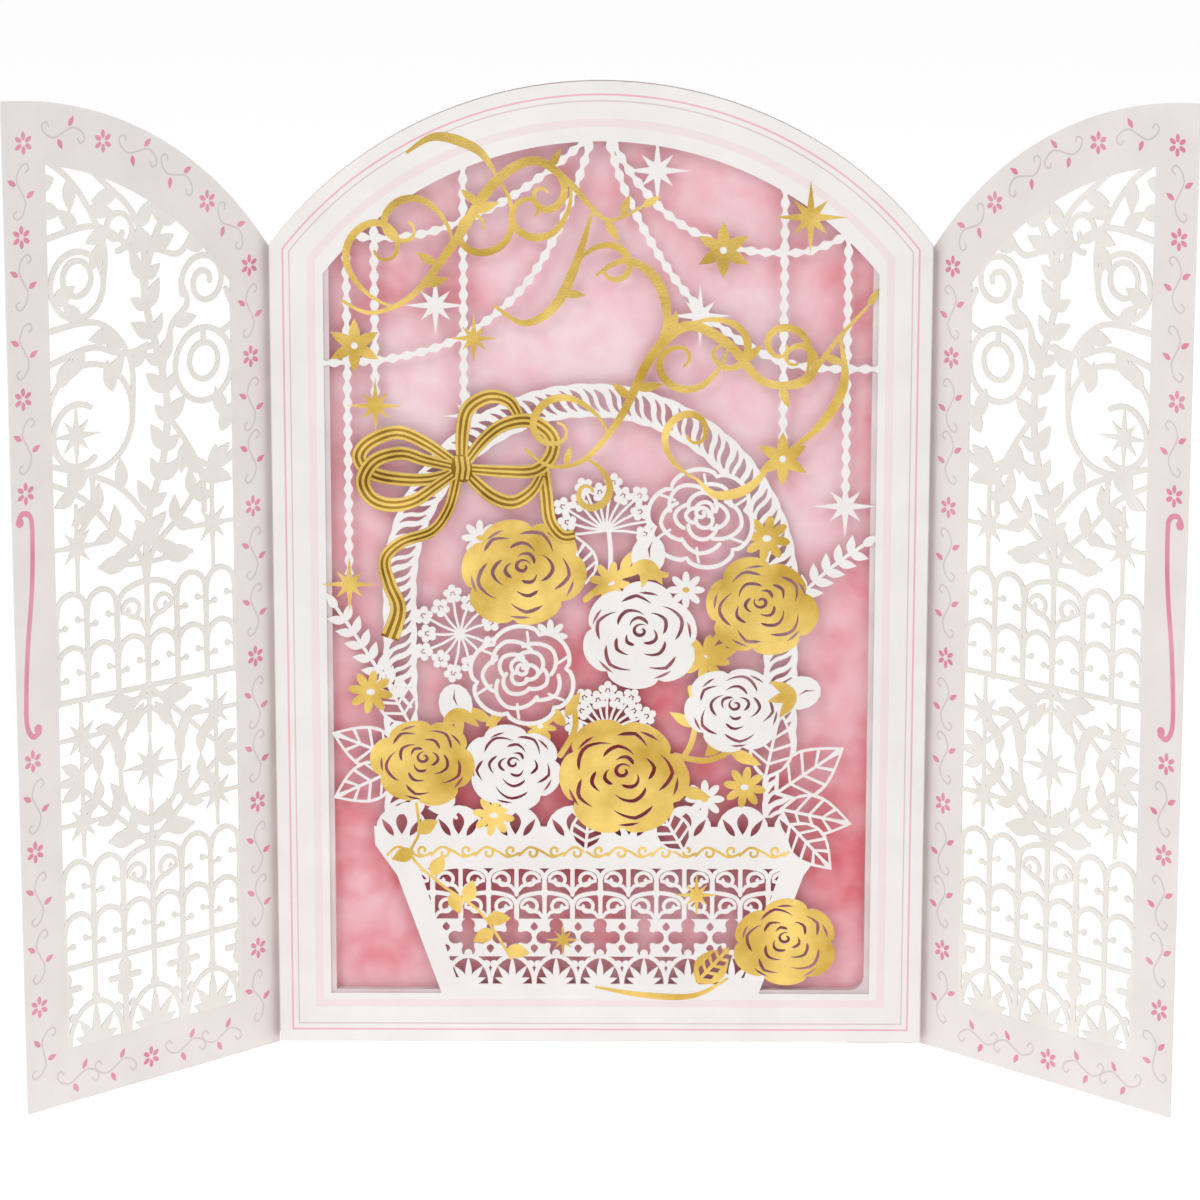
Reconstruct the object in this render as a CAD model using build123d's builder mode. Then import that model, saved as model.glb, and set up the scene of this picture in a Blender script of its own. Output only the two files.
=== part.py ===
from build123d import *
import os
from math import atan2, ceil, cos, degrees, hypot, pi, radians, sin, sqrt

# A gate-fold birthday card with an arched top. Millimetres. It faces -Y and stands on Z = 0.
# X = 0 is the middle of the card and Y = 0 the middle of its depth with the doors open.

# outline of the card
panel_width = 130.0
shoulder_height = 164.0
arch_rise = 32.0
panel_lift = 1.0
door_angle = 46.0
hinge_gap = 0.4
meeting_gap = 0.4
tab_width = 15.0
left_tab_trim = 2.2

# sheets
door_card = 0.3
back_card = 0.35
spacer_depth = 2.0
panel_card = 0.35

# borders round the windows
frame_side = 10.4
frame_foot = 10.2
frame_arch = 11.7
spacer_side = 11.5
spacer_foot = 10.9
spacer_arch = 11.2
spacer_corner = 3.0
door_side = 10.0
door_foot = 11.0
door_arch = 11.7

# laser-cut strokes
stroke = 1.2
bite = 0.8
facet = 45.0
fine_facet = 18.0
strand_width = 1.7
foil_width = 1.3
slit_width = 0.8

# bands of the door lattice, upwards from the window's foot
foot_band = 16.0
scroll_band = 21.0
star_band = 32.0
ring_radius = 8.4
rail_sag = 0.12

# stars and leaves
star_reach = 5.6
star_waist = 1.7
leaf_length = 7.5
leaf_width = 3.2
big_leaf_length = 13.0
big_leaf_width = 7.0

# swags, as drops below the window's top and as sags, high ones first
swag_drops = (19.0, 45.0)
left_sags = (0.12, 0.2)
right_sags = (0.23, 0.2)

# basket and handle
basket_height = 47.0
rim_depth = 8.5
rim_half = 45.5
body_half = 42.0
foot_half = 32.0
body_border = 3.2
weave_columns = 5
weave_rows = 3
rim_cuts = 9
handle_rise = 46.0
handle_radius = 38.0
handle_width = 6.5
handle_slits = 12

# flowers and bow
rose_radius = 10.3
big_rose_radius = 12.4
petals = 6
umbel_radius = 7.5
daisy_radius = 4.2
loop_length = 19.0
loop_radius = 5.6
ribbon_width = 1.7

panel_height = shoulder_height + arch_rise
arch_radius = ((panel_width / 2) ** 2 + arch_rise**2) / (2 * arch_rise)
arch_centre = panel_height - arch_radius
hinge_x = panel_width / 2 + hinge_gap
door_width = hinge_x - meeting_gap
back_y = (door_width * sin(radians(door_angle)) - door_card) / 2
back_plane = Plane.XZ.offset(-back_y)
spacer_plane = back_plane.offset(back_card)
sheet_plane = spacer_plane.offset(spacer_depth)
window_x = panel_width / 2 - frame_side
window_z = panel_lift + frame_foot
window_top = panel_height - frame_arch
lattice_width = door_width - 2 * door_side
lattice_middle = door_width / 2
lattice_free = door_width - door_side
foot_rail = door_foot + foot_band
star_rail = foot_rail + scroll_band
top_rail = star_rail + star_band
vine_foot = top_rail + scroll_band
rim_foot = basket_height - rim_depth

os.makedirs("parts", exist_ok=True)


def crown(x, inset=0.0):
    """Height of the arched top at x, drawn in from the edge by inset."""
    return arch_centre + sqrt((arch_radius - inset) ** 2 - x**2)


def turned(x, z, angle):
    """Place on a sheet, turned by angle."""
    return Location((x, z, 0), (0, 0, angle))


def arched_face(side, foot, arch, mode=Mode.ADD):
    """Arched face drawn in from the card's outline by side, foot and arch."""
    half = panel_width / 2 - side
    shoulder = crown(half, arch)
    base = panel_lift + foot
    with BuildLine() as outline:
        Polyline((-half, shoulder), (-half, base), (half, base), (half, shoulder))
        ThreePointArc((half, shoulder), (0, crown(0, arch)), (-half, shoulder))
    make_face(outline.edges(), mode=mode)


def door_face(side, foot, arch, mode=Mode.ADD):
    """Half-arched door face: u runs from the hinge to the free edge, v is the height."""
    free = door_width - side
    middle = (side + free) / 2
    hinge_top = (side, crown(hinge_x - side, arch))
    free_top = (free, crown(hinge_x - free, arch))
    with BuildLine() as outline:
        Polyline(hinge_top, (side, foot), (free, foot), free_top)
        ThreePointArc(free_top, (middle, crown(hinge_x - middle, arch)), hinge_top)
    make_face(outline.edges(), mode=mode)


# Paths are lists of points. Bends are cut in short facets, as a laser cutter's path is.


def arc(x, z, radius, start, turn, step=facet):
    """Points along an arc about x, z, at most step degrees apart."""
    steps = max(2, ceil(abs(turn) / step))
    angles = [radians(start + turn * i / steps) for i in range(steps + 1)]
    return [(x + radius * cos(a), z + radius * sin(a)) for a in angles]


def bow_arc(start, end, sag, step=facet):
    """Points along a shallow arc that leaves its chord, on the left, by sag times its length."""
    chord = hypot(end[0] - start[0], end[1] - start[1])
    radius = chord * (1 / (8 * sag) + sag / 2)
    depth = radius - sag * chord
    across = ((end[1] - start[1]) / chord, (start[0] - end[0]) / chord)
    x = (start[0] + end[0]) / 2 + across[0] * depth
    z = (start[1] + end[1]) / 2 + across[1] * depth
    first = degrees(atan2(start[1] - z, start[0] - x))
    return arc(x, z, radius, first, -4 * degrees(atan2(2 * sag, 1)), step)


def pen_path(start, heading, bends):
    """Points along tangent arcs, each given as a radius and a turn."""
    points = [start]
    for radius, turn in bends:
        side = 90 if turn > 0 else -90
        x = points[-1][0] + radius * cos(radians(heading + side))
        z = points[-1][1] + radius * sin(radians(heading + side))
        points += arc(x, z, radius, heading - side, turn)[1:]
        heading += turn
    return points


def ribbon(points, width):
    """Strip of one width along a path."""
    left = []
    right = []
    for i, (x, z) in enumerate(points):
        before = points[max(i - 1, 0)]
        after = points[min(i + 1, len(points) - 1)]
        run = hypot(after[0] - before[0], after[1] - before[1])
        across = (width * (after[1] - before[1]) / run / 2, width * (before[0] - after[0]) / run / 2)
        left.append((x - across[0], z - across[1]))
        right.append((x + across[0], z + across[1]))
    return Polygon(*left, *reversed(right)).faces()


def ribbons(paths, width):
    """Strips of one width along many paths."""
    return [face for path in paths for face in ribbon(path, width)]


def ring(x, z, radius):
    """Two half circles about x, z."""
    return [arc(x, z, radius, 0, 180), arc(x, z, radius, 180, 180)]


def spoked(radii, count):
    """Star of count rays about the origin, with its corners at the radii in turn."""
    steps = count * len(radii)
    turns = [2 * pi * i / steps for i in range(steps)]
    return Polygon(*[
        (radii[i % len(radii)] * cos(a), radii[i % len(radii)] * sin(a)) for i, a in enumerate(turns)
    ])


def kite(length, width):
    """Four-cornered leaf from the origin along X."""
    return Polygon((0, 0), (length * 0.45, width / 2), (length, 0), (length * 0.45, -width / 2))


def lens(length, width):
    """Pointed oval from the origin along X."""
    side = [(length * 0.32, width * 0.48), (length * 0.7, width * 0.38)]
    other = [(x, -z) for x, z in reversed(side)]
    return Polygon((0, 0), *side, (length, 0), *other)


def placed(shape, places):
    """The shape's faces at each place of x, z and angle."""
    return [face.moved(turned(x, z, angle)) for x, z, angle in places for face in shape.faces()]


def rose_outline(radius):
    """Lobed outline of a rose."""
    return spoked((radius * 0.87, radius, radius), petals)


def rose_slits(radius):
    """Slits between the petals of a rose, three about its heart and three further out."""
    paths = []
    for i in range(3):
        for share, start in ((0.3, 0), (0.62, 50)):
            bend = arc(0, 0, radius * share, i * 120 + start, 70)
            paths.append([bend[0], bend[-1]])
    return Sketch(ribbons(paths, slit_width))


def ribbon_loop(length, radius):
    """Path of a ribbon loop: out from the knot, round the end and back."""
    turn = degrees(atan2(length, radius))
    bend = arc(length - radius, 0, radius, -turn, 2 * turn)
    return [(0, -ribbon_width)] + bend + [(0, ribbon_width)]


# Motifs drawn about their own origins

star = spoked((star_reach, star_waist), 6)
umbel = spoked((umbel_radius, stroke), 8)
daisy = spoked((daisy_radius, daisy_radius / 2), 6)
leaf = lens(leaf_length, leaf_width)
door_leaf = kite(leaf_length, leaf_width)
tulip = kite(foot_band * 0.62, foot_band * 0.3)
big_leaf = lens(big_leaf_length, big_leaf_width)
slit_length = handle_width * 0.95
slit = kite(slit_length, slit_width * 1.6)

# Door lattice, in door coordinates: u from the hinge, v from the table


def scalloped_rail(height):
    """Three shallow arches across the door's window."""
    arch = lattice_width / 3
    over = stroke / 2
    starts = [door_side + i * arch for i in range(3)]
    return [bow_arc((u - over, height), (u + arch + over, height), rail_sag) for u in starts]


def scroll_rings(height):
    """Ring and half rings joined by bars, one band of the lattice."""
    middle = height + scroll_band / 2
    paths = ring(lattice_middle, middle, ring_radius)
    paths.append(arc(door_side, middle, ring_radius, -90, 180))
    paths.append(arc(lattice_free, middle, ring_radius, 90, 180))
    over = ring_radius - bite
    for side in (-1, 1):
        u = lattice_middle + side * lattice_width / 4
        paths.append([(u, height), (u, height + scroll_band)])
        end = lattice_middle + side * (lattice_width / 2 - over)
        paths.append([(lattice_middle + side * over, middle), (end, middle)])
    return paths


def vine_paths():
    """Stem, branches and scrolls that fill the lattice up to the arch."""
    low = vine_foot
    stem_bends = ((60, -20), (45, 50), (12, -125), (20, 8))
    paths = [pen_path((lattice_middle, low - bite), 90, stem_bends)]
    paths.append(pen_path((lattice_middle + 2, low + 14), 140, ((18, 50), (30, -35))))
    paths.append(pen_path((lattice_middle, low + 58), 150, ((14, -50), (10, 70))))
    paths.append(pen_path((lattice_middle + 5, low + 44), 0, ((12, 70), (16, -60))))
    paths += ring(lattice_free - 8.8, low + 32.5, 9.6)
    paths += ring(door_side + 7.2, low + 40.5, 7.8)
    paths += ring(lattice_free - 5.2, low + 61.5, 5.6)
    return paths


def sprouts(path, spread):
    """Places of leaves that grow from a path, left and right in turn."""
    places = []
    for i in range(1, len(path) - 1):
        run = (path[i + 1][0] - path[i - 1][0], path[i + 1][1] - path[i - 1][1])
        heading = degrees(atan2(run[1], run[0]))
        places.append((path[i][0], path[i][1], heading + spread * (-1) ** i))
    return places


def lattice_faces():
    """Every stroke, star and leaf of the door lattice."""
    third = lattice_width / 3
    paths = vine_paths()
    for height in (foot_rail, star_rail, top_rail, vine_foot):
        paths += scalloped_rail(height)
    for height in (foot_rail, top_rail):
        paths += scroll_rings(height)
    paths.append([(door_side, star_rail), (lattice_free, top_rail)])
    paths.append([(door_side, top_rail), (lattice_free, star_rail)])
    for side in (-1, 0, 1):
        u = lattice_middle + side * third
        paths.append([(u, door_foot - bite), (u, foot_rail + bite)])
    star_u = lattice_width / 2 - star_reach + bite
    star_v = star_band / 2 - star_reach
    star_middle = star_rail + star_band / 2
    stars = [(lattice_middle, star_middle, 0), (lattice_middle + star_u, vine_foot + 32.5, 0)]
    tulips = []
    for side in (-1, 1):
        for height in (star_middle - star_v, star_middle + star_v, vine_foot + star_reach + bite):
            stars.append((lattice_middle + side * star_u, height, 0))
    for side in (-1, 0, 1):
        for lean in (55, 125):
            tulips.append((lattice_middle + side * third, door_foot - bite, lean))
    leaves = []
    for path in vine_paths()[:3]:
        leaves += sprouts(path, 50)
    faces = ribbons(paths, stroke) + placed(star, stars)
    return faces + placed(tulip, tulips) + placed(door_leaf, leaves)


# Doors, each one sheet with its crease and glue tab

door_lattice = lattice_faces()

with BuildPart() as right_door:
    door_direction = (cos(radians(door_angle)), -sin(radians(door_angle)), 0)
    door_normal = (-sin(radians(door_angle)), -cos(radians(door_angle)), 0)
    door_plane = Plane(origin=(hinge_x, back_y, 0), x_dir=door_direction, z_dir=door_normal)
    with BuildSketch(door_plane):
        door_face(0, 0, 0)
        door_face(door_side, door_foot, door_arch, mode=Mode.SUBTRACT)
        add(door_lattice)
    extrude(amount=-door_card)
    hinge_top = crown(hinge_x)
    with BuildSketch():
        with BuildLine():
            crease = CenterArc((hinge_x, back_y), door_card, 90 - door_angle, door_angle)
            Polyline(crease @ 1, (hinge_x, back_y), crease @ 0)
        make_face()
    extrude(amount=hinge_top)
    with BuildSketch(back_plane):
        tab_x = hinge_x - tab_width
        tab_middle = hinge_x - tab_width / 2
        with BuildLine():
            Polyline((hinge_x, hinge_top), (hinge_x, 0), (tab_x, 0), (tab_x, crown(tab_x)))
            ThreePointArc((tab_x, crown(tab_x)), (tab_middle, crown(tab_middle)), (hinge_x, hinge_top))
        make_face()
    extrude(amount=-door_card)

with BuildPart() as left_door:
    mirror(right_door.part, about=Plane.YZ)
    with BuildSketch():
        with Locations((-tab_middle, back_y + door_card / 2)):
            Rectangle(tab_width, door_card)
    extrude(amount=left_tab_trim, mode=Mode.SUBTRACT)

# Back panel and the ring that holds the cut-out sheet off it

with BuildPart() as back_panel:
    with BuildSketch(back_plane):
        arched_face(0, 0, 0)
    extrude(amount=back_card)

with BuildPart() as spacer_frame:
    with BuildSketch(spacer_plane):
        arched_face(0, 0, 0)
    extrude(amount=spacer_depth)
    with BuildSketch(spacer_plane) as opening:
        arched_face(spacer_side, spacer_foot, spacer_arch)
        fillet(opening.vertices().sort_by(Axis.Z)[:2], spacer_corner)
    extrude(amount=spacer_depth, mode=Mode.SUBTRACT)

# Cut-out sheet, in sheet coordinates: x from the card's middle, z from the table

handle_x = -2.0
handle_z = basket_height + handle_rise
bow_x = handle_x + handle_radius * cos(radians(135))
bow_z = handle_z + handle_radius * sin(radians(135))
strand_x = (-window_x + 4.6, -window_x + 10.1, bow_x, window_x - 18.6, window_x - 6.1)
strand_drop = (88.0, 53.0, window_top - bow_z, 63.0, 73.0)


def strand_ends():
    """Lower ends of the hanging strands."""
    return [(x, window_top - drop) for x, drop in zip(strand_x, strand_drop)]


def garland_paths():
    """Hanging strands and the swags that cross them."""
    top = (0, window_top + bite)
    side = window_x + bite
    paths = [[(x, z), (x, crown(x, frame_arch) + bite)] for x, z in strand_ends()]
    for drop, left_sag, right_sag in zip(swag_drops, left_sags, right_sags):
        paths.append(bow_arc(top, (-side, window_top - drop), left_sag, fine_facet))
        paths.append(bow_arc((side, window_top - drop), top, right_sag, fine_facet))
    return paths


def star_places():
    """Stars at the ends of the strands and beside them."""
    ends = [(x, z, 0) for x, z in strand_ends() if x != bow_x]
    beside = (
        (bow_x - star_reach, 34, 0), (bow_x + 1, 40, 0), (11, 6.5, 0), (20, 36.5, 0),
        (strand_x[3] + star_reach, 16.5, 0), (strand_x[0], 41.5, 22), (24, 23, 22),
    )
    return ends + [(x, window_top - drop, angle) for x, drop, angle in beside]


def handle_path():
    """Arched basket handle, from rim to rim."""
    bend = arc(handle_x, handle_z, handle_radius, 0, 180, fine_facet)
    return [(bend[0][0], rim_foot)] + bend + [(bend[-1][0], rim_foot)]


def handle_slit_places():
    """Leaning slits along the handle, like the lay of a twisted cord."""
    places = []
    for i in range(handle_slits):
        angle = 8 + i * 164 / (handle_slits - 1)
        lean = radians(angle + 140)
        x = handle_x + handle_radius * cos(radians(angle)) - slit_length / 2 * cos(lean)
        z = handle_z + handle_radius * sin(radians(angle)) - slit_length / 2 * sin(lean)
        places.append((x, z, angle + 140))
    return places


def basket_face():
    """Flared rim on a body that tapers to the window's foot."""
    half = ((foot_half, window_z - bite), (body_half, rim_foot), (rim_half, rim_foot + 1.5))
    half += ((rim_half, basket_height - 2), (rim_half - 2, basket_height))
    return Polygon(*half, *[(-x, z) for x, z in reversed(half)])


def weave_holes():
    """Rows of leaning pointed holes through the basket's side."""
    row_height = (rim_foot - window_z - body_border) / weave_rows
    holes = []
    for row in range(weave_rows):
        foot = window_z + body_border + row * row_height
        share = (foot - window_z) / (rim_foot - window_z)
        half = foot_half + share * (body_half - foot_half) - body_border
        cell = 2 * half / weave_columns
        shape = kite(row_height * 0.86, cell * 0.36)
        for column in range(weave_columns):
            x = -half + cell * (column + 0.5)
            holes += placed(shape, [(x - cell * 0.1, foot, 108), (x + cell * 0.1, foot, 72)])
    return holes


def rim_holes():
    """Pointed cuts along the rim."""
    shape = kite(rim_depth * 0.5, rim_depth * 0.3)
    pitch = 2 * (rim_half - body_border) / rim_cuts
    first = (1 - rim_cuts) / 2
    return placed(shape, [((first + i) * pitch, rim_foot + rim_depth * 0.4, 90) for i in range(rim_cuts)])


roses = (
    (-16, 50), (32, 43), (-36, 13), (9, 37), (28, 21), (-18, 10), (20, 62), (-16, 29),
)
rose_places = [(x, basket_height + z, x) for x, z in roses]
corner_rose = (foot_half + 5.5, window_z + rose_radius, 20)
big_rose = (4.5, basket_height + 9, 0)

left_leg = handle_x - handle_radius
right_leg = handle_x + handle_radius
bouquet_leaves = (
    (left_leg, 15, 160), (left_leg, 8, 205), (left_leg + 3, 22, 118),
    (right_leg + 2, 14, 14), (right_leg, 6, -24), (right_leg + 1, 18, 52),
    (16, 6, -60), (6, 56, 60), (-1, 22, 100), (-28, 22, 100),
)
umbels = ((1, 65, 0), (-28, 38, 0), (5, 23, 0))
daisies = (
    (-24, 57, 0), (right_leg - 4, 57, 0), (17, 47, 0), (2, 48, 0), (21, 33, 0), (-10, 37, 0),
    (left_leg - 6, 26, 0),
)


def lifted(places):
    """Places given above the basket's rim, as heights from the table."""
    return [(x, basket_height + z, angle) for x, z, angle in places]


def bow_faces():
    """Four loops and two tails about the knot."""
    loop = Sketch(ribbon(ribbon_loop(loop_length, loop_radius), ribbon_width))
    faces = placed(loop, [(bow_x, bow_z, angle) for angle in (166, 190, 12, 44)])
    tails = [pen_path((bow_x, bow_z), -110, ((30, -50), (9, 60), (40, 12)))]
    tails.append(pen_path((bow_x, bow_z), -35, ((16, 75), (9, -105), (30, -10))))
    return faces + ribbons(tails, ribbon_width)


def flourish_paths():
    """Two letterless pen flourishes, above the bow and right of the top."""
    upper_start = (8.5 - window_x, window_top - 24)
    lower_start = (-2, window_top - 48)
    upper = pen_path(upper_start, -90, ((4, 180), (7, 180), (12, 120), (40, 30), (14, -150), (5, -170)))
    lower = pen_path(lower_start, -90, ((4, 200), (9, 150), (34, 40), (12, -130), (6, -180)))
    return [upper, lower]


left_sprig = pen_path((-window_x - bite, window_z + 81), -50, ((60, 22),))
right_sprig = pen_path((window_x + bite, window_z + 93), 215, ((60, -20),))


def cut_motifs():
    """Every garland, star, leaf and flower of the sheet."""
    sprigs = sprouts(left_sprig, 50) + sprouts(right_sprig, 50)
    faces = ribbons(garland_paths() + [left_sprig, right_sprig], strand_width)
    faces += placed(star, star_places()) + placed(leaf, sprigs)
    faces += placed(big_leaf, lifted(bouquet_leaves))
    faces += placed(umbel, lifted(umbels))
    faces += placed(daisy, lifted(daisies))
    faces += placed(rose_outline(rose_radius), rose_places + [corner_rose])
    faces += placed(rose_outline(big_rose_radius), [big_rose])
    return faces + bow_faces() + ribbons(flourish_paths(), foil_width)


def petal_slits():
    """Slits of every rose."""
    slits = placed(rose_slits(rose_radius), rose_places + [corner_rose])
    return slits + placed(rose_slits(big_rose_radius), [big_rose])


basket = ribbons([handle_path()], handle_width) + basket_face().faces()
basket_holes = placed(slit, handle_slit_places()) + weave_holes() + rim_holes()
motifs = cut_motifs()
slits = petal_slits()

with BuildPart() as cutout_panel:
    with BuildSketch(sheet_plane):
        arched_face(0, 0, 0)
        arched_face(frame_side, frame_foot, frame_arch, mode=Mode.SUBTRACT)
        add(basket)
        add(basket_holes, mode=Mode.SUBTRACT)
        add(motifs)
        add(slits, mode=Mode.SUBTRACT)
    extrude(amount=panel_card)

for name, piece in (
    ("left_door", left_door),
    ("right_door", right_door),
    ("back_panel", back_panel),
    ("spacer_frame", spacer_frame),
    ("cutout_panel", cutout_panel),
):
    piece.part.label = name
    export_step(piece.part, f"parts/{name}.step")
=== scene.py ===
import bpy
from math import atan2, cos, degrees, hypot, pi, radians, sin, sqrt
from mathutils import Matrix, Vector
from mathutils.geometry import delaunay_2d_cdt


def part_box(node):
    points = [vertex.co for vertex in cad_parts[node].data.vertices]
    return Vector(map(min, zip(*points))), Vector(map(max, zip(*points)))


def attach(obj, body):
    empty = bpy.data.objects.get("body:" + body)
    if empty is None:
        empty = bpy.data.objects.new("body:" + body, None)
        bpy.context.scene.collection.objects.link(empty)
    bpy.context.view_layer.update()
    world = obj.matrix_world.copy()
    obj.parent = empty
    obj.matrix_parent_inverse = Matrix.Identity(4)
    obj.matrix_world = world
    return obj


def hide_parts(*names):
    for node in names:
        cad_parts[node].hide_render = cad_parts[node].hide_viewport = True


# Looks of an arched gate-fold card. Each sheet is drawn in millimetres, as a cutter's
# drawing is: shapes are painted one over another as card, foil, ink or a hole, and the
# painting is then cut into one thin sheet.

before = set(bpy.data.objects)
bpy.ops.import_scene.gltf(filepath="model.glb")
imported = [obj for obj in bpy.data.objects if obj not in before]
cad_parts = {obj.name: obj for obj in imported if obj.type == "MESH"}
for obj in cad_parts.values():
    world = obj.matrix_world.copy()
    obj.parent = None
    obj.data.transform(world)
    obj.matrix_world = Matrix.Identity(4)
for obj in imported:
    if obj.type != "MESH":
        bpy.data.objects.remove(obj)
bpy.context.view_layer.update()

# the card, in millimetres
width = 130.0
shoulder = 164.0
rise = 32.0
lift = 1.0
height = shoulder + rise
arch_radius = ((width / 2) ** 2 + rise**2) / (2 * rise)
arch_centre = height - arch_radius
door_width = 65.0
door_angle = radians(46)
hinge_gap = 0.4
hinge = width / 2 + hinge_gap
frame_side = 10.4
frame_foot = 10.2
frame_arch = 11.7
door_side = 10.0
door_foot = 11.0
door_arch = 11.7
window_middle = door_width / 2
star_columns = (15.5, 49.5)
card = 0.35
door_card = 0.3
tab_width = 15.0
left_tab_trim = 2.2
foil = 0.03

sheet_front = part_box("cutout_panel")[0].y * 1000
hinge_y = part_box("back_panel")[1].y * 1000

# paints; the darker foil paint is painted shade on the bow's embossing
HOLE, CARD, GOLD, FOIL_IN_SHADE, ROSE, PALE, GREY = range(7)


def crown(x, inset=0.0):
    """Height of the arch, or of an outline drawn in from it."""
    return arch_centre + sqrt((arch_radius - inset) ** 2 - x * x)


# Lines: lists of points


def arc(x, z, radius, start, turn, step=10.0):
    """Arc about a centre. start, turn and step are in degrees."""
    count = max(2, round(abs(turn) / step))
    turns = [radians(start + turn * i / count) for i in range(count + 1)]
    return [(x + radius * cos(a), z + radius * sin(a)) for a in turns]


def pen(start, heading, bends):
    """Tangent arcs, each given as a radius and a turn."""
    points = [start]
    for radius, turn in bends:
        side = 90 if turn > 0 else -90
        x = points[-1][0] + radius * cos(radians(heading + side))
        z = points[-1][1] + radius * sin(radians(heading + side))
        points += arc(x, z, radius, heading - side, turn)[1:]
        heading += turn
    return points


def smooth(points, steps=8):
    """Curve through all the points."""
    ends = [points[0]] + list(points) + [points[-1]]
    out = []
    for a, b, c, d in zip(ends, ends[1:], ends[2:], ends[3:]):
        for i in range(steps):
            t = i / steps
            point = []
            for p, q, r, s in zip(a, b, c, d):
                bend = (2 * p - 5 * q + 4 * r - s) * t**2
                twist = (3 * q - p - 3 * r + s) * t**3
                point.append((2 * q + (r - p) * t + bend + twist) / 2)
            out.append(tuple(point))
    return out + [points[-1]]


def spiral(x, z, radius, start, turn, end_share):
    """Line that winds inwards to a share of its first radius."""
    step = 12 if radius > 3 else 18
    count = max(4, round(abs(turn) / step))
    points = []
    for i in range(count + 1):
        t = i / count
        size = radius * (1 - (1 - end_share) * t)
        angle = radians(start + turn * t)
        points.append((x + size * cos(angle), z + size * sin(angle)))
    return points


def length_of(points):
    return sum(hypot(b[0] - a[0], b[1] - a[1]) for a, b in zip(points, points[1:]))


def spaced(points, pitch):
    """Points a pitch apart along a line, each with its heading in degrees."""
    total = length_of(points)
    count = max(1, round(total / pitch))
    marks = [total * i / count for i in range(count + 1)]
    out = []
    run = 0.0
    for a, b in zip(points, points[1:]):
        span = hypot(b[0] - a[0], b[1] - a[1])
        heading = degrees(atan2(b[1] - a[1], b[0] - a[0]))
        while marks and span > 0 and run + span >= marks[0] - 1e-6:
            t = (marks.pop(0) - run) / span
            out.append((a[0] + (b[0] - a[0]) * t, a[1] + (b[1] - a[1]) * t, heading))
        run += span
    return out


def turned(points, x, z, angle):
    """Points about the origin, turned by an angle and moved to a place."""
    c = cos(radians(angle))
    s = sin(radians(angle))
    return [(x + c * u - s * v, z + s * u + c * v) for u, v in points]


def flipped(points, middle):
    """Points mirrored about an upright line."""
    return [(2 * middle - x, z) for x, z in points]


# Shapes: lists of polygons


def strip(points, half_width):
    """Quads along a line. half_width is a number, or a function of the share of the way."""
    total = length_of(points) or 1.0
    run = 0.0
    sides = []
    for i, (x, z) in enumerate(points):
        a = points[max(i - 1, 0)]
        b = points[min(i + 1, len(points) - 1)]
        if i:
            run += hypot(x - points[i - 1][0], z - points[i - 1][1])
        half = half_width(run / total) if callable(half_width) else half_width
        span = hypot(b[0] - a[0], b[1] - a[1]) or 1.0
        nx = -(b[1] - a[1]) / span * half
        nz = (b[0] - a[0]) / span * half
        sides.append(((x + nx, z + nz), (x - nx, z - nz)))
    return [[p[0], p[1], q[1], q[0]] for p, q in zip(sides, sides[1:])]


def disc(x, z, radius, corners=14):
    turns = [2 * pi * i / corners for i in range(corners)]
    return [[(x + radius * cos(a), z + radius * sin(a)) for a in turns]]


def oval(half_length, half_width, corners=14):
    turns = [2 * pi * i / corners for i in range(corners)]
    return [(half_length * cos(a), half_width * sin(a)) for a in turns]


def stroke(points, line_width):
    """Line of one width with round ends."""
    ends = disc(*points[0], line_width / 2, 10) + disc(*points[-1], line_width / 2, 10)
    return strip(points, line_width / 2) + ends


def swell(points, thin, thick):
    """Pen line that swells in its middle."""
    return strip(points, lambda t: (thin + (thick - thin) * sin(pi * t) ** 1.5) / 2)


def taper(points, line_width):
    """Line with fine ends."""
    return strip(points, lambda t: line_width / 2 * (0.15 + 0.85 * sin(pi * t)))


def leaf_shape(length, leaf_width):
    """Pointed leaf from the origin along X, widest before its middle."""
    side = [(length * i / 9, leaf_width / 2 * sin(pi * (i / 9) ** 0.8)) for i in range(1, 9)]
    return [(0, 0)] + side + [(length, 0)] + [(x, -z) for x, z in reversed(side)]


def rays(radii, count):
    """Star whose corners lie at the radii in turn."""
    total = count * len(radii)
    corners = []
    for i in range(total):
        reach = radii[i % len(radii)]
        corners.append((reach * cos(2 * pi * i / total), reach * sin(2 * pi * i / total)))
    return corners


def bead_chain(points):
    """String of small beads."""
    total = length_of(points)
    dense = [(x, z) for x, z, _ in spaced(points, 0.47)]
    beads = max(2, round(total / 2.9))
    return strip(dense, lambda t: 0.66 + 0.27 * cos(2 * pi * beads * t))


def arched(side, foot, arch):
    """Arched outline drawn in from the card's edge."""
    steps = 44
    half = width / 2 - side
    inner = arch_radius - arch
    turn = atan2(half, sqrt(inner**2 - half**2))
    turns = [turn - 2 * turn * i / steps for i in range(steps + 1)]
    top = [(inner * sin(a), arch_centre + inner * cos(a)) for a in turns]
    return [(-half, lift + foot), (half, lift + foot)] + top


# Motifs. Each adds its painting to a list of jobs.


def paint(jobs, kind, polygons):
    jobs += [(kind, polygon) for polygon in polygons]


def card_line(jobs, points, line_width):
    """Line of card with round ends."""
    paint(jobs, CARD, stroke(points, line_width))


def draw_leaf(jobs, kind, x, z, angle, length, leaf_width):
    """Pointed leaf that runs from a place along an angle."""
    paint(jobs, kind, [turned(leaf_shape(length, leaf_width), x, z, angle)])


def star(jobs, kind, x, z, reach):
    """Eight-pointed star, its upright and level points the longer ones."""
    waist = reach * 0.26
    paint(jobs, kind, [turned(rays((reach, waist, reach * 0.66, waist), 4), x, z, 90)])


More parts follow.
